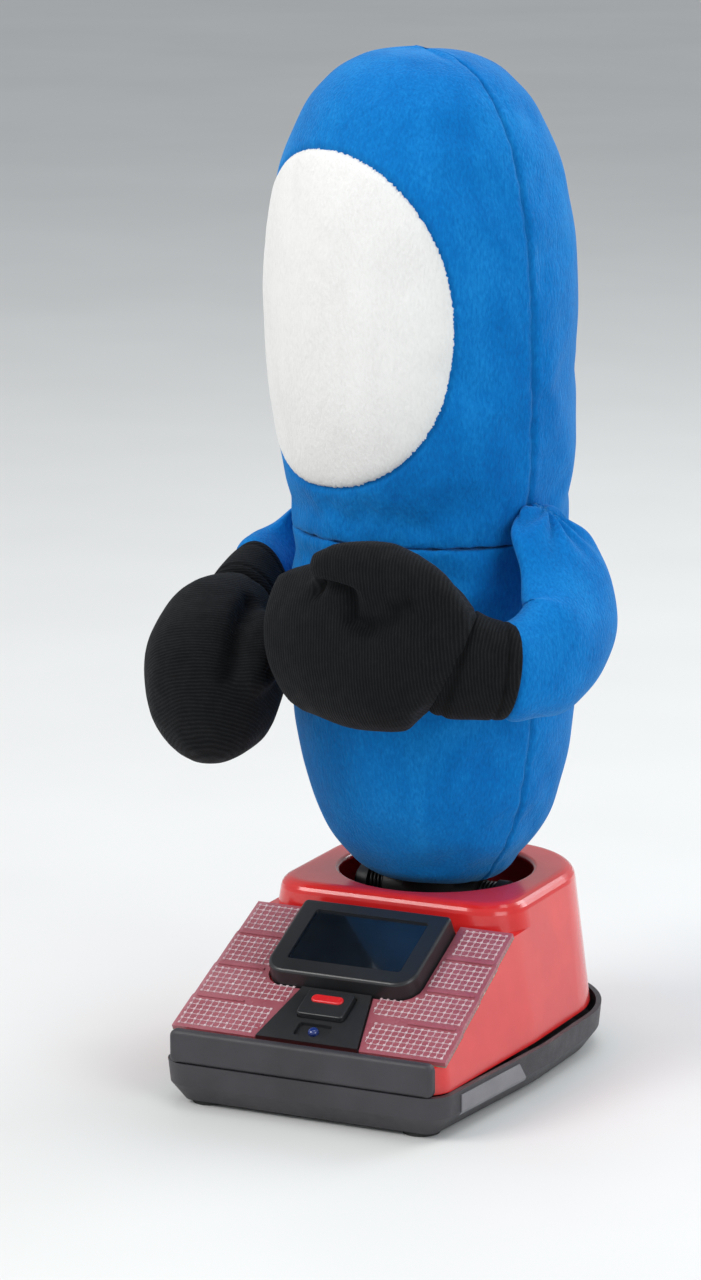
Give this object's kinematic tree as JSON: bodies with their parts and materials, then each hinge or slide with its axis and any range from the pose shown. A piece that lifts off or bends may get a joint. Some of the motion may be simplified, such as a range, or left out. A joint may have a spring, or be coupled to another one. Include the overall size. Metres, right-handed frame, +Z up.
{
  "type": "tabletop punch game",
  "caption": "Tabletop punch game: stuffed boxing figure with gloves on a sprung post that tilts back, over a weighted base with a sloping scoring deck, digit display and key.",
  "frame": {"origin": "on the table, at the underside of the rubber pad straight below the post's pivot", "axes": "+Z up, figure faces -Y, +X is the figure's own left"},
  "size_m": [0.1976, 0.2, 0.444],
  "materials": {
    "charcoal_shell": "fine moulded grain",
    "grey_inset": "satin",
    "red_shell": "gloss",
    "rubber": "matt",
    "plated_steel": "bright plated",
    "black_oxide_steel": "black oxide",
    "ballast_iron": "raw",
    "black_plastic": "moulded",
    "battery_sleeve": "printed sleeve, left plain",
    "circuit_board": "green lacquer",
    "chip_plastic": "moulded",
    "unlit_led": "unlit",
    "clear_smoke_cover": "translucent, moulded grid",
    "black_satin": "satin",
    "smoked_window": "smoked acrylic, unlit",
    "red_key": "gloss",
    "blue_lens": "clear blue",
    "post_plastic": "moulded",
    "foam": "open cell foam",
    "blue_plush": "short pile velour",
    "white_plush": "short pile velour",
    "black_knit": "fine rib knit"
  },
  "bodies": {
    "base": {"axle_clips": "black_oxide_steel", "ballast_plate": "ballast_iron", "batteries": "battery_sleeve", "battery_box": "black_plastic", "battery_contacts": "plated_steel", "battery_door": "black_plastic", "board_chips": "chip_plastic", "bottom_tray": "charcoal_shell", "bracket_screws": "plated_steel", "bumper_pins": "black_oxide_steel", "case_screws": "plated_steel", "circuit_card_left": "circuit_board", "circuit_card_right": "circuit_board", "console_panel": "black_satin", "deck_cover_left": "clear_smoke_cover", "deck_cover_right": "clear_smoke_cover", "deck_lights": "unlit_led", "digit_blocks": "chip_plastic", "digit_segments": "unlit_led", "display_board": "circuit_board", "display_housing": "black_satin", "display_window": "smoked_window", "front_lip": "charcoal_shell", "key_spring": "plated_steel", "main_board": "circuit_board", "pivot_axle": "black_oxide_steel", "pivot_bracket_left": "black_plastic", "pivot_bracket_right": "black_plastic", "red_shell": "red_shell", "return_spring_left": "black_oxide_steel", "return_spring_right": "black_oxide_steel", "rubber_bumpers": "rubber", "rubber_pads": "rubber", "side_inset_left": "grey_inset", "side_inset_right": "grey_inset", "signal_light": "blue_lens", "speaker": "black_plastic", "speed_sensor": "black_plastic", "switch_body": "black_plastic"},
    "figure": {"pivot_hub": "black_plastic", "speed_vane": "black_plastic", "core_post": "post_plastic", "foam_core": "foam", "torso": "blue_plush", "head": "blue_plush", "face_patch": "white_plush"},
    "left_arm": {"sleeve_left": "blue_plush", "glove_cuff_left": "black_knit", "glove_left": "black_knit"},
    "right_arm": {"sleeve_right": "blue_plush", "glove_cuff_right": "black_knit", "glove_right": "black_knit"},
    "key": {"mode_key": "black_satin", "key_bar": "red_key"},
    "switch_knob": {"power_switch": "black_plastic"}
  },
  "joints": [
    {"name": "post_tilt", "type": "hinge", "parent": "base", "child": "figure", "pos_m": [0, 0, 0.07], "axis": [-1, 0, 0], "range_deg": [0, 22], "stiffness_Nm_per_rad": 3, "springref_deg": -22.92},
    {"name": "left_arm_lift", "type": "hinge", "parent": "figure", "child": "left_arm", "pos_m": [0.064, -0.03, 0.244], "axis": [-1, 0, 0], "range_deg": [0, 20]},
    {"name": "right_arm_lift", "type": "hinge", "parent": "figure", "child": "right_arm", "pos_m": [-0.064, 0.018, 0.24], "axis": [-1, 0, 0], "range_deg": [0, 20]},
    {"name": "key_press", "type": "slide", "parent": "base", "child": "key", "axis": [0, 0.4226, -0.9063], "range_m": [0, 0.0015], "stiffness_N_per_m": 300, "springref_m": -0.001, "deforming": ["key_spring"]},
    {"name": "power_slide", "type": "slide", "parent": "base", "child": "switch_knob", "axis": [0, 1, 0], "range_m": [0, 0.005]}
  ]
}
